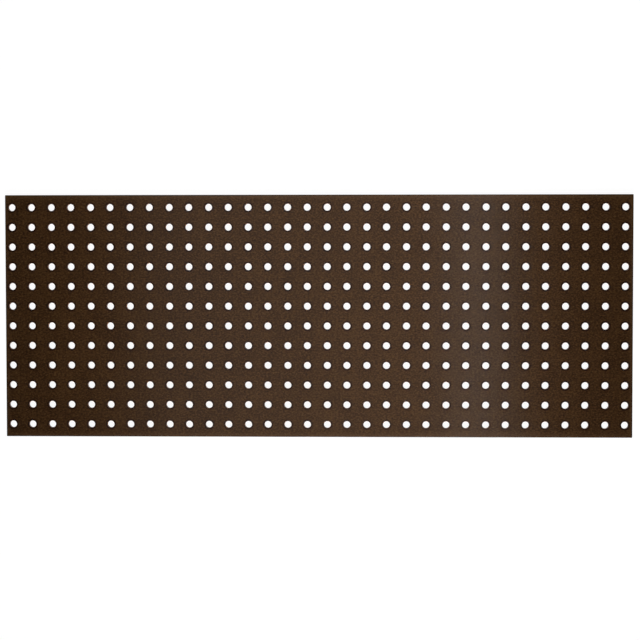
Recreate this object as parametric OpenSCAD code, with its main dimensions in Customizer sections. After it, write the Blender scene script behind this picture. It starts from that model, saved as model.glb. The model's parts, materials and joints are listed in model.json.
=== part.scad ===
// Bare prototype board: one sheet of brown paper-phenolic laminate, punched all over
// with a square grid of plain holes and sheared to size. No copper, no pads, no print.
// It lies flat: +Z is up, X runs along the board, the origin is the centre of its underside.

/* [Hole grid] */
// Number of holes in each row, along the board
columns = 32; // [2:1:64]
// Number of rows of holes, across the board
rows = 12; // [2:1:36]
// Distance from one hole to the next, the same both ways
hole_pitch = 6.731; // [5:0.001:8]
// Diameter of the straight part of a hole
hole_d = 2.38; // [1.2:0.01:3]
// Columns that the press punches in one stroke
stroke_columns = 2; // [1:1:8]
// How much each further column of a stroke falls short of the pitch
stroke_short = 0.067; // [0:0.001:0.2]

/* [Sheet] */
// Thickness of the laminate
sheet_t = 1.57; // [0.8:0.01:3.2]
// Left edge of the sheet to the centre of the first column
margin_left = 2.34; // [1.9:0.01:8]
// Centre of the last column to the right edge of the sheet
margin_right = 2.59; // [1.9:0.01:8]
// Front edge of the sheet to the centre of the first row
margin_front = 4.25; // [1.9:0.01:8]
// Centre of the last row to the back edge of the sheet
margin_back = 4.25; // [1.9:0.01:8]
// Radius of the four sheared corners, seen from above
corner_r = 0.25; // [0.1:0.01:1.5]

/* [Punched rims] */
// Radius that the punch rolls into the rim on the upper face
roll_r = 0.08; // [0.04:0.01:0.25]
// Height of the flared break at the lower face, where the slug tears out
break_h = 0.2; // [0.1:0.01:0.5]
// How much wider than the straight part the break is at the lower face
break_w = 0.05; // [0.02:0.01:0.15]

/* [Sheared edges] */
// Radius that the shear rolls into the upper edge
edge_roll_r = 0.15; // [0.05:0.01:0.25]
// Height of the slanted break along the lower edge, where the sheet snaps off
edge_break_h = 0.4; // [0.1:0.01:0.6]
// How far the slanted break leans in at the lower face
edge_break_w = 0.06; // [0.02:0.01:0.15]

/* [Hidden] */

// Flat steps in a rolled quarter round
roll_steps = 3;
// Cutters run this far past the faces that they cut
overrun = 0.5;
// Facets of a previewed circle
circle_fn = 48;

hole_r = hole_d / 2;

// Place of a column, measured from the first one: a whole number of pitches, less what
// the columns of its own stroke have fallen short.
function column_x(i) = i * hole_pitch - (i % stroke_columns) * stroke_short;
function row_y(j) = j * hole_pitch;

grid_l = column_x(columns - 1);
grid_w = row_y(rows - 1);
sheet_l = margin_left + grid_l + margin_right;
sheet_w = margin_front + grid_w + margin_back;

// Puts its children at every hole of the grid.
module at_each_hole() {
    translate([margin_left - sheet_l / 2, margin_front - sheet_w / 2])
        for (i = [0 : columns - 1], j = [0 : rows - 1])
            translate([column_x(i), row_y(j)])
                children();
}

// The sheared blank seen from above, a rectangle with four small round corners.
module blank_outline() {
    square([sheet_l - 2 * corner_r, sheet_w], center = true);
    square([sheet_l, sheet_w - 2 * corner_r], center = true);
    for (x = [-1, 1], y = [-1, 1])
        translate([x * (sheet_l / 2 - corner_r), y * (sheet_w / 2 - corner_r)])
            circle(r = corner_r, $fn = circle_fn);
}

// A rolled quarter round as steps of [how far in from the wall, height], from the wall up
// to the upper face.
function roll_arc(r) = [
    for (k = [0 : roll_steps])
        let (a = 90 * k / roll_steps)
            [r * (1 - cos(a)), sheet_t - r * (1 - sin(a))]
];

// Right-hand side of a section through a sheet w wide: the slanted break, the straight
// cut, then the edge that the shear rolls over.
function sheared_side(w) = concat(
    [
        [w / 2 - edge_break_w, 0],
        [w / 2, edge_break_h]
    ],
    [for (step = roll_arc(edge_roll_r)) [w / 2 - step[0], step[1]]]
);
function mirrored(points) = [for (k = [len(points) - 1 : -1 : 0]) [-points[k][0], points[k][1]]];

// A strip w wide with both of its sides sheared, seen end on.
module sheared_section(w) {
    polygon(concat(sheared_side(w), mirrored(sheared_side(w))));
}

// The sheet before it is punched: sheared along its length, then across.
module blank() {
    intersection() {
        linear_extrude(height = sheet_t)
            blank_outline();
        rotate([90, 0, 90])
            linear_extrude(height = sheet_l + overrun, center = true)
                sheared_section(sheet_w);
        rotate([90, 0, 0])
            linear_extrude(height = sheet_w + overrun, center = true)
                sheared_section(sheet_l);
    }
}

// Half section of a punched hole, from its axis outwards: the flared break at the lower
// face, the straight wall, then the rim that the punch rolls over at the upper face.
function hole_section() = concat(
    [
        [0, -overrun],
        [hole_r + break_w, -overrun],
        [hole_r + break_w, 0],
        [hole_r, break_h]
    ],
    [for (step = roll_arc(roll_r)) [hole_r + step[0], step[1]]],
    [
        [hole_r + roll_r, sheet_t + overrun],
        [0, sheet_t + overrun]
    ]
);

// What one stroke of one punch takes out of the sheet.
module punched_hole() {
    rotate_extrude($fn = circle_fn)
        polygon(hole_section());
}

// The finished board.
module board() {
    color([0.27, 0.19, 0.13])
        difference() {
            blank();
            at_each_hole()
                punched_hole();
        }
}

board();
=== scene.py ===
"""The looks of a bare prototype board: a punched sheet of brown paper-phenolic laminate on a pale floor.

The sheet is rebuilt as a finer mesh of the same form, with torn breaks and sheared, layered edges.
Lengths are in metres, unless a name or a comment says millimetres. +Z is up, out of the punched face.
"""
import json
import math

import bpy
import numpy as np
from mathutils import Matrix, Vector


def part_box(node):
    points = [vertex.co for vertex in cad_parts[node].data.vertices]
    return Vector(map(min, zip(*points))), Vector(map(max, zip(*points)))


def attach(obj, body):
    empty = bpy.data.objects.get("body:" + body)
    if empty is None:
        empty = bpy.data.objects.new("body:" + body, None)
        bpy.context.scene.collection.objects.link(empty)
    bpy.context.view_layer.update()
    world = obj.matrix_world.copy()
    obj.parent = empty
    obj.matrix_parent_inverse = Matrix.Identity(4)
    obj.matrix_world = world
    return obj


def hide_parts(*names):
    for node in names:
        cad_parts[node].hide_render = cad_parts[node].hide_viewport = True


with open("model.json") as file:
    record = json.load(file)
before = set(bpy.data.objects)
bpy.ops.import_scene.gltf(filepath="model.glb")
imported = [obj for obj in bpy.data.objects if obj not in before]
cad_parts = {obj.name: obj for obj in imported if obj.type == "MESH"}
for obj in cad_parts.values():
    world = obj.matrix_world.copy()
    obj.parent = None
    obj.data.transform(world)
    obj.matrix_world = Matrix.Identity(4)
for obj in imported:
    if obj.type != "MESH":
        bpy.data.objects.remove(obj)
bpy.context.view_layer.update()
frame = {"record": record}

MM = 0.001

# Sizes of the sheet, from the frame

BODY = "root"
NODE = "board"
COLUMNS = 32
ROWS = 12
STROKE_COLUMNS = 2

sheet_low, sheet_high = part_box(NODE)
sheet_l = sheet_high.x - sheet_low.x
sheet_w = sheet_high.y - sheet_low.y
sheet_t = sheet_high.z - sheet_low.z

mounts = {mount["name"]: mount for mount in frame["record"]["mounts"]}
corner_holes = mounts["corner_holes"]
straight_wall = mounts["terminal_hole"]
hole_r = corner_holes["dims"]["hole_r_mm"] * MM
grid_l = corner_holes["dims"]["spacing_x_mm"] * MM
grid_w = corner_holes["dims"]["spacing_y_mm"] * MM
pitch = grid_w / (ROWS - 1)
stroke_short = (COLUMNS - 1) * pitch - grid_l
first_x = corner_holes["pos_m"][0] - grid_l / 2
first_y = corner_holes["pos_m"][1] - grid_w / 2
wall_h = straight_wall["dims"]["length_mm"] * MM
break_h = straight_wall["pos_m"][2] - wall_h / 2
roll_r = sheet_t - break_h - wall_h

hole_x = [first_x + i * pitch - (i % STROKE_COLUMNS) * stroke_short for i in range(COLUMNS)]
hole_y = [first_y + j * pitch for j in range(ROWS)]
line_x = [(a + b) / 2 for a, b in zip(hole_x, hole_x[1:])]
line_y = [(a + b) / 2 for a, b in zip(hole_y, hole_y[1:])]

# Sizes that the mesh adds

HOLE_SIDES = 24
ROLL_STEPS = 3
BREAK_W = 0.05 * MM
LAND_W = 0.3 * MM
CORNER_R = 0.25 * MM
LEAST_CORNER_R = 0.03 * MM
CORNER_STEPS = 4
EDGE_ROLL_R = 0.15 * MM
EDGE_BREAK_W = 0.06 * MM
EDGE_STEP = 0.62 * MM
# Furthest that a torn point strays, across and along the wall
TEAR_ACROSS = 0.03 * MM
TEAR_ALONG = 0.05 * MM
# How deep the fractured part of the sheared edge is pitted
EDGE_PIT = 0.035 * MM
# Half-way down a hole's break: the shares of its width and of the tear that are reached
MID_BREAK = 0.4
MID_TEAR = 0.5
# Two points of neighbouring cells nearer than this are one
WELD = 1e-7
# Faces that meet at a sharper turn than this are shaded apart
SHARP_TURN = math.radians(34)

SEED = 11
rng = np.random.default_rng(SEED)

# The four finishes, as places in the mesh's material list

FACE, PUNCHED, SHEARED, UNDERSIDE = range(4)

# Where each part lies on the bake map, in millimetres of a square sheet

MAP_NAME = "OFBake"
MAP_MM = 218.0
MAP_GAP = 2.0
FACES_APART = 1.5
STRIPS_APART = 1.2
STRIP_GAP = 0.45
EDGE_STRIP_ROWS = 3
EDGE_STRIP_H = (sheet_t + EDGE_ROLL_R) / MM
HOLE_STRIP_H = (sheet_t + roll_r) / MM
FACE_PLACE = (MAP_GAP, MAP_GAP)
UNDER_PLACE = (MAP_GAP, MAP_GAP + sheet_w / MM + FACES_APART)
STRIPS_PLACE = UNDER_PLACE[1] + sheet_w / MM + STRIPS_APART


class Sheet:
    """The board's mesh as it grows: points, faces, and each face's finish and place on the bake map."""

    def __init__(self):
        self.points = []
        self.faces = []
        self.finishes = []
        self.places = []
        self.shared = {}

    def point(self, x, y, z):
        self.points.append((x, y, z))
        return len(self.points) - 1

    def shared_point(self, x, y, z):
        """A point that neighbouring cells both use."""
        key = (round(x / WELD), round(y / WELD), round(z / WELD))
        if key not in self.shared:
            self.shared[key] = self.point(x, y, z)
        return self.shared[key]

    def loop(self, spots, z):
        return [self.point(x, y, z) for x, y in spots]

    def face(self, corners, finish, places=None):
        self.faces.append(corners)
        self.finishes.append(finish)
        self.places.append(places or [self.flat_place(c, finish) for c in corners])

    def flat_place(self, corner, finish):
        """The bake map's place of a point on the upper face or, mirrored, on the underside."""
        x, y, _ = self.points[corner]
        if finish == FACE:
            return (x - sheet_low.x) / MM + FACE_PLACE[0], (y - sheet_low.y) / MM + FACE_PLACE[1]
        return (sheet_high.x - x) / MM + UNDER_PLACE[0], (y - sheet_low.y) / MM + UNDER_PLACE[1]

    def band(self, upper, lower, finish, outward=False, upper_places=None, lower_places=None):
        """Quads between two closed loops. A wall that faces the middle of its loop isn't outward."""
        count = len(upper)
        for k in range(count):
            n = (k + 1) % count
            corners = (upper[k], upper[n], lower[n], lower[k])
            places = None
            if upper_places:
                places = [upper_places[k][0], upper_places[k][1], lower_places[k][1], lower_places[k][0]]
            if outward:
                corners = corners[::-1]
                places = places and places[::-1]
            self.face(corners, finish, places)

    def cell(self, ring, rim, centre, finish, upward):
        """Triangles from a hole's ring to the rim of its cell, both in order round the centre."""
        rim = sorted(set(rim), key=lambda c: self.angle(c, centre))
        ring_angles = [self.angle(c, centre) for c in ring]
        rim_angles = [self.angle(c, centre) for c in rim]
        ring_angles.append(ring_angles[0] + math.tau)
        rim_angles.append(rim_angles[0] + math.tau)
        i = 0
        j = 0
        while i < len(ring) or j < len(rim):
            a = ring[i % len(ring)]
            b = rim[j % len(rim)]
            step_rim = i == len(ring) or (j < len(rim) and rim_angles[j + 1] < ring_angles[i + 1])
            if step_rim:
                j += 1
                corners = (a, b, rim[j % len(rim)])
            else:
                i += 1
                corners = (a, b, ring[i % len(ring)])
            self.face(corners if upward else corners[::-1], finish)

    def angle(self, corner, centre):
        x, y, _ = self.points[corner]
        return math.atan2(y - centre[1], x - centre[0]) % math.tau

    def build(self, name):
        """The finished object, with each face's finish as its material index."""
        mesh = bpy.data.meshes.new(name)
        mesh.from_pydata(self.points, [], self.faces)
        mesh.polygons.foreach_set("material_index", self.finishes)
        mesh.polygons.foreach_set("use_smooth", [True] * len(self.faces))
        places = np.array([place for places in self.places for place in places]) / MAP_MM
        mesh.uv_layers.new(name=MAP_NAME).data.foreach_set("uv", places.ravel())
        mesh.set_sharp_from_angle(angle=SHARP_TURN)
        mesh.update()
        piece = bpy.data.objects.new(name, mesh)
        bpy.context.scene.collection.objects.link(piece)
        return piece


# Edges of the sheet

def divided(stops, step):
    """The stops, with evenly spaced points between them that are about a step apart."""
    spots = [stops[0]]
    for low, high in zip(stops, stops[1:]):
        parts = max(1, round((high - low) / step))
        spots += [low + (high - low) * (k + 1) / parts for k in range(parts)]
    return spots


class Outline:
    """The sheet's outline, anticlockwise, as stations that can each be taken in from the edge."""

    def __init__(self):
        keep = EDGE_BREAK_W + EDGE_ROLL_R + LAND_W + 2 * LEAST_CORNER_R
        along_x = divided([sheet_low.x + keep, *line_x, sheet_high.x - keep], EDGE_STEP)
        along_y = divided([sheet_low.y + keep, *line_y, sheet_high.y - keep], EDGE_STEP)
        self.stations = []
        self.side_starts = []
        self.side([(x, sheet_low.y) for x in along_x], (0, -1), (1, -1))
        self.side([(sheet_high.x, y) for y in along_y], (1, 0), (1, 1))
        self.side([(x, sheet_high.y) for x in along_x[::-1]], (0, 1), (-1, 1))
        self.side([(sheet_low.x, y) for y in along_y[::-1]], (-1, 0), (-1, -1))

    def side(self, spots, out, corner):
        """One straight side and the corner after it."""
        self.side_starts.append(len(self.stations))
        self.stations += [("side", spot, out) for spot in spots]
        turn = math.atan2(out[1], out[0])
        angles = [turn + math.pi / 2 * k / CORNER_STEPS for k in range(CORNER_STEPS + 1)]
        self.stations += [("corner", corner, (math.cos(a), math.sin(a))) for a in angles]

    def taken_in(self, insets):
        """Where each station is when it is taken in by its own inset."""
        spots = []
        for (kind, base, out), inset in zip(self.stations, insets):
            if kind == "corner":
                r = max(CORNER_R - inset, LEAST_CORNER_R)
                x = base[0] * (sheet_l / 2 - inset - r) + out[0] * r
                y = base[1] * (sheet_w / 2 - inset - r) + out[1] * r
            else:
                x = base[0] - inset * out[0]
                y = base[1] - inset * out[1]
            spots.append((x, y))
        return spots

    def map_places(self, depth):
        """For each station, where the face that starts there begins and ends on the bake map.

        The two long strips lie one above the other, and the two short ones side by side above them.
        """
        spots = self.taken_in([0.0] * len(self.stations))
        ends = self.side_starts[1:] + [len(spots)]
        places = []
        for side, (start, end) in enumerate(zip(self.side_starts, ends)):
            short = side % 2
            second = side // 2
            strip_row = EDGE_STRIP_ROWS - 1 if short else second
            u = MAP_GAP + second * short * (sheet_w / MM + MAP_GAP)
            v = STRIPS_PLACE + strip_row * (EDGE_STRIP_H + STRIP_GAP) + depth
            for k in range(start, end):
                here = spots[k]
                there = spots[(k + 1) % len(spots)]
                step = math.dist(here, there) / MM
                places.append(((u, v), (u + step, v)))
                u += step
        return places


def roll_section(r):
    """A quarter round as steps of (how far in from the wall, height), from the face down to the wall."""
    angles = [math.pi / 2 * k / ROLL_STEPS for k in range(ROLL_STEPS + 1)]
    return [(r * (1 - math.sin(a)), sheet_t - r * (1 - math.cos(a))) for a in angles]


# Levels of the sheared edge under its roll, as (share of the pitting, share of the break, height)
EDGE_LEVELS = [
    (0.3, 0.0, 1.12 * MM),
    (0.9, 0.0, 0.8 * MM),
    (1.0, 0.0, 0.4 * MM),
    (1.0, 0.5, 0.2 * MM),
    (0.8, 1.0, 0.0),
]


def add_edges(sheet, outline):
    """The rolled, sheared edge all round. It returns the loops that the upper and lower cells end on."""
    count = len(outline.stations)
    flat = np.zeros(count)
    upper_rim = sheet.loop(outline.taken_in(flat + EDGE_ROLL_R + LAND_W), sheet_t)
    loops = []
    for inset, height in roll_section(EDGE_ROLL_R):
        loops.append((sheet.loop(outline.taken_in(flat + inset), height), height))
    for pitting, broken, height in EDGE_LEVELS:
        pits = rng.random(count) * EDGE_PIT * pitting
        loops.append((sheet.loop(outline.taken_in(pits + broken * EDGE_BREAK_W), height), height))
    lower_rim = sheet.loop(outline.taken_in(flat + EDGE_BREAK_W + LAND_W), 0.0)
    sheet.band(upper_rim, loops[0][0], FACE, outward=True)
    depth = 0.0
    for (upper, upper_z), (lower, lower_z) in zip(loops, loops[1:]):
        upper_places = outline.map_places(depth)
        depth += max(upper_z - lower_z, EDGE_ROLL_R / ROLL_STEPS) / MM
        sheet.band(upper, lower, SHEARED, True, upper_places, outline.map_places(depth))
    sheet.band(loops[-1][0], lower_rim, UNDERSIDE, outward=True)
    return upper_rim, lower_rim


# Punched holes

hole_turns = [math.tau * k / HOLE_SIDES for k in range(HOLE_SIDES)]
unit_ring = [(math.cos(a), math.sin(a)) for a in hole_turns]


def ring_spots(centre, radii):
    return [(centre[0] + r * x, centre[1] + r * y) for r, (x, y) in zip(radii, unit_ring)]


def hole_map_places(index, depth):
    """Where each face of a hole's wall begins and ends on the bake map, at a depth in millimetres."""
    strip_l = math.tau * hole_r / MM
    in_a_row = int((MAP_MM - MAP_GAP) // (strip_l + STRIP_GAP))
    u = MAP_GAP / 2 + (index % in_a_row) * (strip_l + STRIP_GAP)
    first_row = STRIPS_PLACE + EDGE_STRIP_ROWS * (EDGE_STRIP_H + STRIP_GAP)
    v = first_row + (index // in_a_row) * (HOLE_STRIP_H + STRIP_GAP) + depth
    step = strip_l / HOLE_SIDES
    return [((u + k * step, v), (u + (k + 1) * step, v)) for k in range(HOLE_SIDES)]


def add_hole(sheet, centre, index):
    """One punched hole. It returns the flat loops round it on the upper and the lower face."""
    even = np.ones(HOLE_SIDES)
    torn_top, torn_mid, torn_mouth = 2 * rng.random((3, HOLE_SIDES)) - 1
    land = sheet.loop(ring_spots(centre, even * (hole_r + roll_r + LAND_W)), sheet_t)
    loops = []
    for inset, height in roll_section(roll_r):
        loops.append((sheet.loop(ring_spots(centre, even * (hole_r + inset)), height), height))
    break_top = sheet.loop(ring_spots(centre, even * hole_r), break_h)
    for k, corner in enumerate(break_top):
        x, y, z = sheet.points[corner]
        sheet.points[corner] = (x, y, z + torn_top[k] * TEAR_ALONG)
    loops.append((break_top, break_h))
    mid_r = hole_r + MID_BREAK * BREAK_W + torn_mid * MID_TEAR * TEAR_ACROSS
    loops.append((sheet.loop(ring_spots(centre, mid_r), break_h / 2), break_h / 2))
    mouth_r = hole_r + BREAK_W + torn_mouth * TEAR_ACROSS
    loops.append((sheet.loop(ring_spots(centre, mouth_r), 0.0), 0.0))
    under_land = sheet.loop(ring_spots(centre, even * (hole_r + BREAK_W + LAND_W)), 0.0)
    sheet.band(land, loops[0][0], FACE)
    depth = 0.0
    for (upper, upper_z), (lower, lower_z) in zip(loops, loops[1:]):
        upper_places = hole_map_places(index, depth)
        depth += max(upper_z - lower_z, roll_r / ROLL_STEPS) / MM
        sheet.band(upper, lower, PUNCHED, False, upper_places, hole_map_places(index, depth))
    sheet.band(loops[-1][0], under_land, UNDERSIDE)
    return land, under_land


# Where one hole's cell ends and the next begins. The outermost cells have no end of their own.
stops_x = [-math.inf, *line_x, math.inf]
stops_y = [-math.inf, *line_y, math.inf]


def cell_rim(sheet, rim, column, row, z):
    """The points round a hole's cell: its corners, the middles of its sides and its part of the edge."""
    low_x, high_x = stops_x[column:column + 2]
    low_y, high_y = stops_y[row:row + 2]
    corners = [(x, y) for x in (low_x, high_x) for y in (low_y, high_y)]
    corners += [(x, hole_y[row]) for x in (low_x, high_x)]
    corners += [(hole_x[column], y) for y in (low_y, high_y)]
    inner = [(x, y) for x, y in corners if math.isfinite(x) and math.isfinite(y)]
    points = [sheet.shared_point(x, y, z) for x, y in inner]
    if len(inner) < len(corners):
        for corner in rim:
            x, y, _ = sheet.points[corner]
            if low_x - WELD <= x <= high_x + WELD and low_y - WELD <= y <= high_y + WELD:
                points.append(corner)
    return points


def make_board():
    """The whole sheet as one closed mesh."""
    sheet = Sheet()
    upper_rim, lower_rim = add_edges(sheet, Outline())
    for column in range(COLUMNS):
        for row in range(ROWS):
            centre = (hole_x[column], hole_y[row])
            land, under_land = add_hole(sheet, centre, column * ROWS + row)
            rim = cell_rim(sheet, upper_rim, column, row, sheet_t)
            sheet.cell(land, rim, centre, FACE, True)
            rim = cell_rim(sheet, lower_rim, column, row, 0.0)
            sheet.cell(under_land, rim, centre, UNDERSIDE, False)
    board = sheet.build("punched_board")
    weighted = board.modifiers.new("weighted_normals", "WEIGHTED_NORMAL")
    weighted.keep_sharp = True
    return board


# Materials

# Places of the Mix node's sockets for colours, which share their names with those for other values
MIX_SHARE = 0
MIX_FROM = 6
MIX_TO = 7
MIX_RESULT = 2


class Finish:
    """A material's node tree, with short calls for the nodes that the finishes share."""

    def __init__(self, name):
        self.material = bpy.data.materials.new(name)
        self.material.use_nodes = True
        self.tree = self.material.node_tree
        self.tree.nodes.clear()
        self.output = self.tree.nodes.new("ShaderNodeOutputMaterial")

    def node(self, kind, inputs=None, **settings):
        """A node of that kind. Each input is a value or another node's output."""
        made = self.tree.nodes.new("ShaderNode" + kind)
        for name, value in settings.items():
            setattr(made, name, value)
        for name, value in (inputs or {}).items():
            if isinstance(value, bpy.types.NodeSocket):
                self.tree.links.new(value, made.inputs[name])
            else:
                made.inputs[name].default_value = value
        return made

    def math(self, operation, a, b=0.0):
        return self.node("Math", {0: a, 1: b}, operation=operation).outputs[0]

    def place_mm(self):
        """Where the shaded point is on the board, in millimetres."""
        where = self.node("TexCoord").outputs["Object"]
        scaled = self.node("VectorMath", {"Vector": where, "Scale": 1 / MM}, operation="SCALE")
        return scaled.outputs["Vector"]

    def noise(self, place, size, detail=2.0, roughness=0.5, stretch=(1, 1, 1)):
        """Noise whose blotches are about size millimetres across, times the stretch along each axis."""
        scale = [1 / (size * s) for s in stretch]
        scaled = self.node("VectorMath", {0: place, 1: scale}, operation="MULTIPLY").outputs[0]
        inputs = {"Vector": scaled, "Scale": 1.0, "Detail": detail, "Roughness": roughness}
        return self.node("TexNoise", inputs).outputs["Fac"]

    def ranged(self, value, low, high, to_low=0.0, to_high=1.0, smooth=False):
        """The value's part between low and high, as a part between to_low and to_high."""
        inputs = {"Value": value, "From Min": low, "From Max": high, "To Min": to_low, "To Max": to_high}
        kind = "SMOOTHSTEP" if smooth else "LINEAR"
        return self.node("MapRange", inputs, interpolation_type=kind).outputs["Result"]

    def mix(self, share, a, b):
        """Colour a, with the share of colour b over it."""
        made = self.node("Mix", {MIX_SHARE: share, MIX_FROM: a, MIX_TO: b}, data_type="RGBA")
        return made.outputs[MIX_RESULT]

    def bump(self, height, strength, distance_mm, normal=None):
        inputs = {"Height": height, "Strength": strength, "Distance": distance_mm * MM}
        if normal is not None:
            inputs["Normal"] = normal
        return self.node("Bump", inputs).outputs[0]

    def surface(self, color, roughness, normal, specular=0.5):
        shader = self.node("BsdfPrincipled", {
            "Base Color": color,
            "Roughness": roughness,
            "Normal": normal,
            "Specular IOR Level": specular,
        })
        self.tree.links.new(shader.outputs[0], self.output.inputs["Surface"])
        return self.material


def rgb(red, green, blue):
    """A colour in screen levels, from 0 to 255, as the linear light that the nodes take."""
    def linear(level):
        share = level / 255
        return share / 12.92 if share <= 0.04045 else ((share + 0.055) / 1.055) ** 2.4
    return linear(red), linear(green), linear(blue), 1.0


# Colours of the laminate
RESIN_DARK = rgb(62, 39, 17)
RESIN_LIGHT = rgb(73, 48, 23)
FIBRE_DARK = rgb(45, 27, 10)
FIBRE_LIGHT = rgb(94, 65, 35)
# The dark of the rolled rims round the holes and along the edges: partly burnish, partly painted shade
BURNISH_AND_SHADE_BROWN = rgb(42, 19, 3)
CRAZED = rgb(112, 82, 56)
# The hole wall's two browns: partly the cut laminate's own tone, partly painted light from the pale floor
# under the holes
WALL_TONE_AND_GLOW = rgb(152, 98, 58)
WALL_DARK_TONE_AND_GLOW = rgb(104, 66, 38)
PLY = rgb(116, 84, 56)
PLY_DARK = rgb(66, 44, 28)

# Patterns, as (size in millimetres, detail, roughness, stretch along X, Y and Z)
CLOUDS = (9.0, 3.0)
GRAIN = (0.5, 4.0, 0.65, (1.4, 1, 1))
FIBRES = (0.3, 3.0, 0.55, (4.0, 1, 1))
PLATE_WAVES = (5.0, 2.0)
PLATE_TEXTURE = (0.32, 3.0, 0.65)
TORN_RING = (0.7, 3.0)
PLIES = (0.11, 3.0, 0.6, (22, 22, 1))
PUNCH_STREAKS = (0.12, 2.0, 0.5, (1, 1, 12))
TORN_EDGE = (0.22, 4.0, 0.65)

# The values of a pattern at which its mark begins and is whole
CLOUDS_SHOW = (0.3, 0.7)
DARK_GRAIN_SHOWS = (0.5, 0.3)
LIGHT_GRAIN_SHOWS = (0.5, 0.7)
FLECKS_SHOW = (0.62, 0.78)
GRAIN_SPAN = (0.25, 0.75)
WALL_PLIES_SHOW = (0.3, 0.7)
EDGE_PLIES_SHOW = (0.32, 0.68)

# Reliefs, as (strength, depth in millimetres)
FIBRE_RELIEF = (0.2, 0.01)
WAVES_RELIEF = (0.3, 0.02)
TEXTURE_RELIEF = (0.3, 0.01)
WALL_RELIEF = (0.3, 0.02)
PLIES_RELIEF = (0.4, 0.04)
TORN_RELIEF = (0.5, 0.05)

# Marks by the outline and round the holes, as (whole up to, gone at), in millimetres from edge or rim
EDGE_CRAZE = (0.2, 2.2)
# The dark at the very edge and round the rims is partly burnish and partly painted shade
EDGE_BURNISH_AND_SHADE_REACH = (0.12, 0.4)
RIM_BURNISH_AND_SHADE_REACH = (0.2, 0.8)
TORN_HALO = (0.0, 0.7)
# How far the torn halo strays from its ring
HALO_STRAY = 0.35

# How strong marks are at most, or between which strengths they vary from hole to hole
FLECKS = 0.4
EDGE_CRAZED = 0.2
# The next two darken the very edge and the rims: partly burnish, partly painted shade
EDGE_BURNISH_AND_SHADE = 0.8
RIM_BURNISH_AND_SHADE = (0.75, 1.0)
HALO_CRAZED = (0.35, 0.75)
TORN_WALL_CRAZED = 0.6
# This one darkens the sheared edge's roll: partly burnish, partly painted shade
EDGE_ROLL_BURNISH_AND_SHADE = 0.85
CUT_EDGE_RESIN = 0.45

# Roughness of the two faces, from the dark parts of the grain to the light ones
FACE_ROUGHNESS = (0.14, 0.18)
UNDERSIDE_ROUGHNESS = (0.4, 0.52)
# Roughness of a hole's wall, where it is smeared and where it is torn, and how strongly it reflects
WALL_ROUGHNESS = (0.6, 0.85)
WALL_GLOSS = 0.2
# Roughness of the sheared edge, where it is torn and where it is cut
EDGE_ROUGHNESS = (0.75, 0.5)

# Heights on the walls between which one finish turns into the next, in millimetres
TORN_BELOW = (break_h / MM - 0.05, break_h / MM + 0.15)
CUT_ABOVE = (0.85, 1.15)
ROLLED_ABOVE = (sheet_t / MM - 0.2, sheet_t / MM - 0.04)


def hole_distance(finish, place):
    """The distance to the nearest hole's axis, in millimetres, and that hole's own chance from 0 to 1."""
    split = finish.node("SeparateXYZ", {"Vector": place}).outputs
    from_first_x = finish.math("SUBTRACT", split["X"], first_x / MM)
    from_first_y = finish.math("SUBTRACT", split["Y"], first_y / MM)
    column = finish.math("ROUND", finish.math("DIVIDE", from_first_x, pitch / MM))
    row = finish.math("ROUND", finish.math("DIVIDE", from_first_y, pitch / MM))
    short = finish.math("MULTIPLY", finish.math("MODULO", column, STROKE_COLUMNS), stroke_short / MM)
    axis_x = finish.math("SUBTRACT", finish.math("MULTIPLY", column, pitch / MM), short)
    axis_y = finish.math("MULTIPLY", row, pitch / MM)
    across = finish.math("SUBTRACT", from_first_x, axis_x)
    along = finish.math("SUBTRACT", from_first_y, axis_y)
    squares = finish.math("ADD", finish.math("POWER", across, 2), finish.math("POWER", along, 2))
    distance = finish.math("SQRT", squares)
    number = finish.node("CombineXYZ", {"X": column, "Y": row}).outputs["Vector"]
    chance = finish.node("TexWhiteNoise", {"Vector": number}, noise_dimensions="2D").outputs["Value"]
    return distance, chance


def edge_distance(finish, place):
    """How far the shaded point is in from the outline, in millimetres."""
    split = finish.node("SeparateXYZ", {"Vector": place}).outputs
    in_x = finish.math("SUBTRACT", sheet_l / 2 / MM, finish.math("ABSOLUTE", split["X"]))
    in_y = finish.math("SUBTRACT", sheet_w / 2 / MM, finish.math("ABSOLUTE", split["Y"]))
    return finish.math("MINIMUM", in_x, in_y)


def height_mm(finish, place):
    return finish.node("SeparateXYZ", {"Vector": place}).outputs["Z"]


def resin_colour(finish, place):
    """The pressed laminate's brown: slow clouds of resin, and the paper's fibres and flecks along X.

    It returns the colour, the grain and the fibres.
    """
    cloud = finish.ranged(finish.noise(place, *CLOUDS), *CLOUDS_SHOW)
    brown = finish.mix(cloud, RESIN_DARK, RESIN_LIGHT)
    grain = finish.noise(place, *GRAIN)
    brown = finish.mix(finish.ranged(grain, *DARK_GRAIN_SHOWS), brown, FIBRE_DARK)
    brown = finish.mix(finish.ranged(grain, *LIGHT_GRAIN_SHOWS), brown, FIBRE_LIGHT)
    fibre = finish.noise(place, *FIBRES)
    flecks = finish.ranged(fibre, *FLECKS_SHOW, 0.0, FLECKS, smooth=True)
    return finish.mix(flecks, brown, FIBRE_LIGHT), grain, fibre


def matte_press(finish, place, fibre):
    """The fine, even texture that the press plate leaves, over the paper's own relief."""
    relief = finish.bump(fibre, *FIBRE_RELIEF)
    relief = finish.bump(finish.noise(place, *PLATE_WAVES), *WAVES_RELIEF, relief)
    return finish.bump(finish.noise(place, *PLATE_TEXTURE), *TEXTURE_RELIEF, relief)


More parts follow.
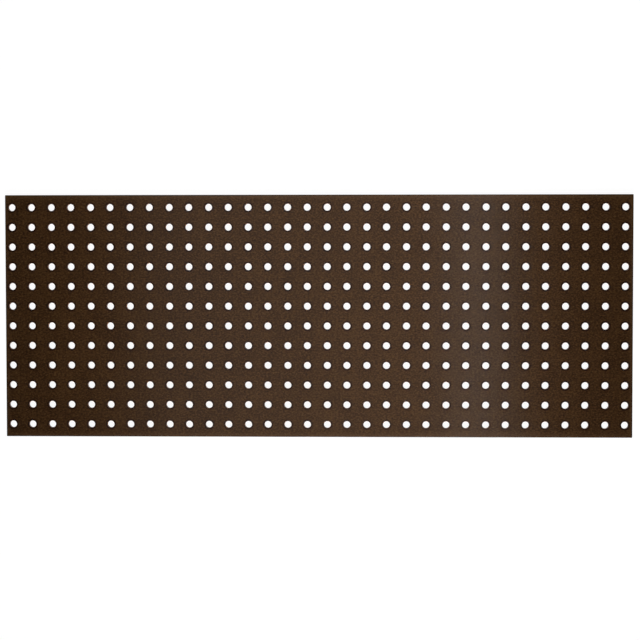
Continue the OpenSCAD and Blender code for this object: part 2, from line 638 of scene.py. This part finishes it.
def make_face_finish():
    """The upper face, darkened round each hole and at the very edge, partly by burnish and partly as
    painted shade of the rolled rims, and crazed pale just inside the edge.
    """
    finish = Finish("laminate_face")
    place = finish.place_mm()
    brown, grain, fibre = resin_colour(finish, place)
    distance, chance = hole_distance(finish, place)
    from_edge = edge_distance(finish, place)
    pale = finish.ranged(from_edge, *EDGE_CRAZE, EDGE_CRAZED, 0.0, smooth=True)
    brown = finish.mix(pale, brown, CRAZED)
    from_rim = finish.math("SUBTRACT", distance, (hole_r + roll_r) / MM)
    # Painted shade of the rolled rims round the holes and at the very edge, with some burnish
    ring = finish.ranged(from_rim, *RIM_BURNISH_AND_SHADE_REACH, 1.0, 0.0, smooth=True)
    ring = finish.math("MULTIPLY", ring, finish.ranged(chance, 0.0, 1.0, *RIM_BURNISH_AND_SHADE))
    edge = finish.ranged(from_edge, *EDGE_BURNISH_AND_SHADE_REACH, EDGE_BURNISH_AND_SHADE, 0.0, smooth=True)
    color = finish.mix(finish.math("MAXIMUM", ring, edge), brown, BURNISH_AND_SHADE_BROWN)
    roughness = finish.ranged(grain, *GRAIN_SPAN, *FACE_ROUGHNESS)
    return finish.surface(color, roughness, matte_press(finish, place, fibre))


def make_underside_finish():
    """The lower face, where the slugs tore out and left pale, crazed rings."""
    finish = Finish("laminate_underside")
    place = finish.place_mm()
    brown, grain, fibre = resin_colour(finish, place)
    distance, chance = hole_distance(finish, place)
    stray = finish.ranged(finish.noise(place, *TORN_RING), 0.0, 1.0, -HALO_STRAY, HALO_STRAY)
    from_mouth = finish.math("SUBTRACT", finish.math("ADD", distance, stray), (hole_r + BREAK_W) / MM)
    halo = finish.ranged(from_mouth, *TORN_HALO, 1.0, 0.0, smooth=True)
    halo = finish.math("MULTIPLY", halo, finish.ranged(chance, 0.0, 1.0, *HALO_CRAZED))
    color = finish.mix(halo, brown, CRAZED)
    roughness = finish.ranged(grain, *GRAIN_SPAN, *UNDERSIDE_ROUGHNESS)
    return finish.surface(color, roughness, matte_press(finish, place, fibre))


def make_punched_finish():
    """A hole's wall: a smear of resin from the punch above, torn paper below; its red-brown is the cut
    laminate's tone, lightened with painted light from the floor below.
    """
    finish = Finish("punched_wall")
    place = finish.place_mm()
    plies = finish.ranged(finish.noise(place, *PLIES), *WALL_PLIES_SHOW)
    height = height_mm(finish, place)
    plies_tone_and_glow = finish.mix(plies, WALL_DARK_TONE_AND_GLOW, WALL_TONE_AND_GLOW)
    torn = finish.ranged(height, *TORN_BELOW, 1.0, 0.0)
    color = finish.mix(finish.math("MULTIPLY", torn, TORN_WALL_CRAZED), plies_tone_and_glow, CRAZED)
    relief = finish.bump(plies, *WALL_RELIEF)
    relief = finish.bump(finish.noise(place, *PUNCH_STREAKS), *WALL_RELIEF, relief)
    roughness = finish.ranged(torn, 0.0, 1.0, *WALL_ROUGHNESS)
    return finish.surface(color, roughness, relief, WALL_GLOSS)


def make_sheared_finish():
    """The sheared edge: light and dark plies, cut smooth above and broken rough below."""
    finish = Finish("sheared_edge")
    place = finish.place_mm()
    plies = finish.ranged(finish.noise(place, *PLIES), *EDGE_PLIES_SHOW)
    height = height_mm(finish, place)
    layered = finish.mix(plies, PLY_DARK, PLY)
    # The roll at the top of the sheared edge is darkened: partly burnish, partly painted shade
    rolled = finish.ranged(height, *ROLLED_ABOVE, 0.0, EDGE_ROLL_BURNISH_AND_SHADE)
    cut = finish.ranged(height, *CUT_ABOVE, 0.0, CUT_EDGE_RESIN)
    color = finish.mix(cut, layered, RESIN_DARK)
    color = finish.mix(rolled, color, BURNISH_AND_SHADE_BROWN)
    relief = finish.bump(plies, *PLIES_RELIEF)
    relief = finish.bump(finish.noise(place, *TORN_EDGE), *TORN_RELIEF, relief)
    roughness = finish.ranged(cut, 0.0, CUT_EDGE_RESIN, *EDGE_ROUGHNESS)
    return finish.surface(color, roughness, relief)


# Stage

FLOOR_R = 4.0
FLOOR_DROP = 0.02 * MM
FLOOR_SIDES = 96
# How much of the floor's paleness is its own, and how bright that is
FLOOR_GLOW_SHARE = 0.88
FLOOR_GLOW = 1.1
FLOOR_PALE = (0.8, 0.8, 0.8, 1.0)
WHITE = (1.0, 1.0, 1.0, 1.0)


def make_floor_finish():
    """Pale paper that shows as white in the picture and in reflections, and takes a shadow."""
    finish = Finish("floor_white")
    path = finish.node("LightPath").outputs
    seen = finish.math("MAXIMUM", path["Is Camera Ray"], path["Is Glossy Ray"])
    seen = finish.math("MAXIMUM", seen, path["Is Transmission Ray"])
    matte = finish.node("BsdfDiffuse", {"Color": FLOOR_PALE}).outputs["BSDF"]
    glow = finish.node("Emission", {"Color": WHITE, "Strength": FLOOR_GLOW}).outputs["Emission"]
    share = finish.math("MULTIPLY", seen, FLOOR_GLOW_SHARE)
    pale = finish.node("MixShader", {0: share, 1: matte, 2: glow}).outputs["Shader"]
    finish.tree.links.new(pale, finish.output.inputs["Surface"])
    return finish.material


def make_floor():
    """The round floor that the board lies on."""
    turns = [math.tau * k / FLOOR_SIDES for k in range(FLOOR_SIDES)]
    mesh = bpy.data.meshes.new("floor")
    rim = [(FLOOR_R * math.cos(a), FLOOR_R * math.sin(a), 0.0) for a in turns]
    mesh.from_pydata(rim, [], [range(FLOOR_SIDES)])
    floor = bpy.data.objects.new("floor", mesh)
    floor.location.z = sheet_low.z - FLOOR_DROP
    bpy.context.scene.collection.objects.link(floor)
    mesh.materials.append(make_floor_finish())


# Brightness of the studio's walls and of its ceiling
STUDIO_WALLS = 0.5
STUDIO_CEILING = 0.03
# Where the walls begin to fade and where only the ceiling is left, as sines of the angle above the horizon
WALLS_END = 0.22
CEILING_BEGINS = 0.75


def make_world():
    """A studio with white walls and a dim ceiling, by direction alone."""
    world = bpy.data.worlds.new("studio")
    world.use_nodes = True
    tree = world.node_tree
    tree.nodes.clear()
    direction = tree.nodes.new("ShaderNodeTexCoord")
    split = tree.nodes.new("ShaderNodeSeparateXYZ")
    fade = tree.nodes.new("ShaderNodeMapRange")
    fade.interpolation_type = "SMOOTHSTEP"
    fade.inputs["From Min"].default_value = WALLS_END
    fade.inputs["From Max"].default_value = CEILING_BEGINS
    fade.inputs["To Min"].default_value = STUDIO_WALLS
    fade.inputs["To Max"].default_value = STUDIO_CEILING
    background = tree.nodes.new("ShaderNodeBackground")
    output = tree.nodes.new("ShaderNodeOutputWorld")
    tree.links.new(direction.outputs["Generated"], split.inputs["Vector"])
    tree.links.new(split.outputs["Z"], fade.inputs["Value"])
    tree.links.new(fade.outputs["Result"], background.inputs["Color"])
    tree.links.new(background.outputs["Background"], output.inputs["Surface"])
    bpy.context.scene.world = world


def aimed(place, target, up=(0, 1, 0)):
    """The turn that points an object's -Z from a place at a target, with its Y as near up as can be."""
    back = (Vector(place) - Vector(target)).normalized()
    side = Vector(up).cross(back).normalized()
    return Matrix((side, back.cross(side), back)).transposed().to_4x4()


# Two strip lamps with narrow beams, in front of the board and behind it, 55 degrees from straight up
LAMPS_OUT = 0.98
LAMPS_UP = 0.69
LAMP_SIZE = (0.02, 0.6)
FRONT_X = 0.0056
FRONT_WATTS = 0.436
FRONT_SPREAD = math.radians(17.4)
BACK_X = 0.0473
BACK_WATTS = 0.0235
BACK_SPREAD = math.radians(4.8)
# Two dim panels that face straight down over the board
SHEEN_Y = -0.04
SHEEN_UP = 0.683
SHEEN_LONG = 0.6
SHEEN_SPREAD = math.pi
WIDE_SHEEN_X = -0.052
WIDE_SHEEN_WIDE = 0.197
WIDE_SHEEN_WATTS = 0.12
NARROW_SHEEN_X = 0.0845
NARROW_SHEEN_WIDE = 0.011
NARROW_SHEEN_WATTS = 0.081


def add_lamp(name, place, target, size, watts, spread):
    light = bpy.data.lights.new(name, "AREA")
    light.shape = "RECTANGLE"
    light.size, light.size_y = size
    light.energy = watts
    light.spread = spread
    lamp = bpy.data.objects.new(name, light)
    lamp.matrix_world = Matrix.Translation(place) @ aimed(place, target)
    bpy.context.scene.collection.objects.link(lamp)


def add_lamps():
    """Strips that light the board from the sides, too low to glare, and panels that give it its sheen."""
    for name, x, y, watts, spread in (
        ("front_strip", FRONT_X, -LAMPS_OUT, FRONT_WATTS, FRONT_SPREAD),
        ("back_strip", BACK_X, LAMPS_OUT, BACK_WATTS, BACK_SPREAD),
    ):
        add_lamp(name, (x, y, LAMPS_UP), (x, 0, 0), LAMP_SIZE, watts, spread)
    for name, x, wide, watts in (
        ("wide_sheen", WIDE_SHEEN_X, WIDE_SHEEN_WIDE, WIDE_SHEEN_WATTS),
        ("narrow_sheen", NARROW_SHEEN_X, NARROW_SHEEN_WIDE, NARROW_SHEEN_WATTS),
    ):
        place = (x, SHEEN_Y, SHEEN_UP)
        add_lamp(name, place, (x, SHEEN_Y, 0), (wide, SHEEN_LONG), watts, SHEEN_SPREAD)


# The photo's view of the board, fitted to the centres and widths of its holes
CAMERA_PLACE = (0.0242, 0.0280, 0.6600)
CAMERA_TARGET = (0.00077, -0.00134, 0.0008)
CAMERA_UP = (0.001, 1.0, 0.0)
CAMERA_LENS = 109.02
CAMERA_NEAR = 0.01


def add_camera():
    camera = bpy.data.cameras.new("camera")
    camera.lens = CAMERA_LENS
    camera.clip_start = CAMERA_NEAR
    eye = bpy.data.objects.new("camera", camera)
    eye.matrix_world = Matrix.Translation(CAMERA_PLACE) @ aimed(CAMERA_PLACE, CAMERA_TARGET, CAMERA_UP)
    bpy.context.scene.collection.objects.link(eye)
    bpy.context.scene.camera = eye


board = make_board()
for make_finish in (make_face_finish, make_punched_finish, make_sheared_finish, make_underside_finish):
    board.data.materials.append(make_finish())
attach(board, BODY)
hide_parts(NODE)

make_floor()
make_world()
add_lamps()
add_camera()
bpy.context.scene.view_settings.view_transform = "Standard"
